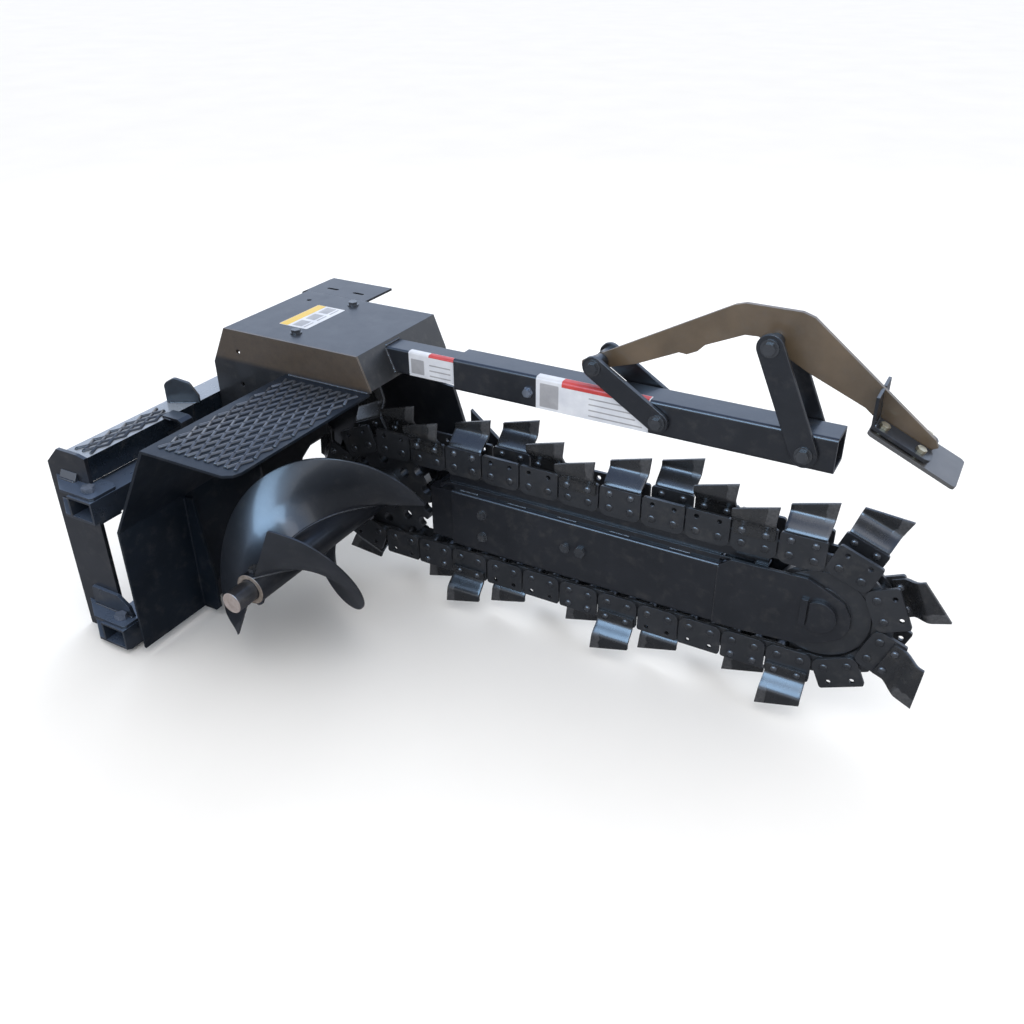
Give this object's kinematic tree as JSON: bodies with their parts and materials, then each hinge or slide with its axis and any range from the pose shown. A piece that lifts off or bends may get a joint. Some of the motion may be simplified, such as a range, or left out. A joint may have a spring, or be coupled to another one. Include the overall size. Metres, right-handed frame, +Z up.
{
  "type": "trencher",
  "caption": "Chain trencher attachment: toothed digging chain on a tensioned boom, spoil auger, folding crumber arm, drive housing and side-shifting carriage on a loader frame.",
  "frame": {"origin": "on the head-shaft axis at the middle of its bare end", "axes": "+X along the boom away from the loader, +Y across the machine along the head shaft, +Z up"},
  "size_m": [1.596, 0.9, 0.747],
  "materials": {
    "black_paint": "gloss black paint",
    "tread_paint": "black paint worn at the edges",
    "chain_paint": "black paint over heat-treated steel",
    "tooth_paint": "gloss black paint",
    "bolt_black": "dark plated and painted",
    "bolt_zinc": "yellow zinc",
    "bare_steel": "bare machined end",
    "blade_steel": "black paint",
    "motor_iron": "black painted casting"
  },
  "bodies": {
    "mount_frame": {"end_plates": "black_paint", "top_channel": "black_paint", "channel_tread": "tread_paint", "ear_plate": "black_paint", "hose_hook": "black_paint", "clamp_plates": "black_paint", "clamp_bolts": "bolt_black", "slide_tubes": "black_paint"},
    "chassis": {"slide_sleeves": "black_paint", "carriage_frame": "black_paint", "guard_sheet": "black_paint", "guard_rib": "black_paint", "step_tread": "tread_paint", "housing_cover": "black_paint", "housing_side_near": "black_paint", "housing_side_far": "black_paint", "drive_wall": "black_paint", "cover_bolts": "bolt_black", "motor_guard": "black_paint", "drive_motor": "motor_iron", "shaft_bearing": "black_paint", "bearing_bolts": "bolt_black", "boom_mount": "black_paint", "boom_inner": "black_paint", "chain_plates_near": "chain_paint", "chain_plates_far": "chain_paint", "chain_inner_plates": "chain_paint", "chain_rollers": "chain_paint", "chain_pins": "chain_paint", "teeth_near_out": "tooth_paint", "teeth_near_in": "tooth_paint", "teeth_far_out": "tooth_paint", "teeth_far_in": "tooth_paint", "tooth_bolts": "bolt_black", "crumber_bar_inner": "black_paint"},
    "head": {"head_shaft": "bare_steel", "sprocket": "chain_paint", "auger_tube": "black_paint", "auger_flights": "black_paint", "auger_bolts": "bolt_black"},
    "boom_outer": {"boom_sleeve": "black_paint", "boom_nose": "black_paint", "boom_wear_strips": "black_paint", "idler_axle": "black_paint", "axle_keepers": "black_paint", "boom_bolts": "bolt_black"},
    "idler": {"idler_wheel": "chain_paint"},
    "crumber_outer": {"crumber_bar_outer": "black_paint", "crumber_lock_screw": "bolt_black", "bar_pivot_bolts": "bolt_black"},
    "rear_link_pair": {"rear_links": "black_paint", "rear_spacers": "black_paint", "rear_arm_bolt": "bolt_black"},
    "arm": {"crumber_arm": "black_paint", "shoe_blade": "blade_steel", "shoe_bracket": "black_paint", "shoe_bolts": "bolt_zinc"},
    "front_link_pair": {"front_links": "black_paint", "front_spacers": "black_paint", "front_arm_bolt": "bolt_black"}
  },
  "joints": [
    {"name": "side_shift", "type": "slide", "parent": "mount_frame", "child": "chassis", "axis": [0, 1, 0], "range_m": [0, 0.3]},
    {"name": "head_spin", "type": "hinge", "parent": "chassis", "child": "head", "pos_m": [0, 0.4785, 0], "axis": [0, 1, 0], "continuous": true, "deforming": ["chain_rollers", "chain_pins"]},
    {"name": "boom_tension", "type": "slide", "parent": "chassis", "child": "boom_outer", "axis": [1, 0, 0], "range_m": [-0.02, 0]},
    {"name": "idler_spin", "type": "hinge", "parent": "boom_outer", "child": "idler", "pos_m": [0.924, 0.4785, 0], "axis": [0, 1, 0], "continuous": true},
    {"name": "crumber_reach", "type": "slide", "parent": "chassis", "child": "crumber_outer", "axis": [1, 0, 0], "range_m": [0, 0.15]},
    {"name": "rear_link_swing", "type": "hinge", "parent": "crumber_outer", "child": "rear_link_pair", "pos_m": [0.601, 0.4785, 0.295], "axis": [0, 1, 0], "range_deg": [0, 50]},
    {"name": "arm_swing", "type": "hinge", "parent": "rear_link_pair", "child": "arm", "pos_m": [0.477, 0.4785, 0.373], "axis": [0, 1, 0], "range_deg": [-39.41, 0]},
    {"name": "front_link_swing", "type": "hinge", "parent": "crumber_outer", "child": "front_link_pair", "pos_m": [0.854, 0.4785, 0.295], "axis": [0, 1, 0], "range_deg": [0, 35.52]}
  ],
  "couplings": [
    {"joint": "idler_spin", "follows": "head_spin", "ratio": 1},
    {"joint": "arm_swing", "follows": "rear_link_swing", "ratio": -0.7882},
    {"joint": "front_link_swing", "follows": "rear_link_swing", "ratio": 0.7103}
  ]
}
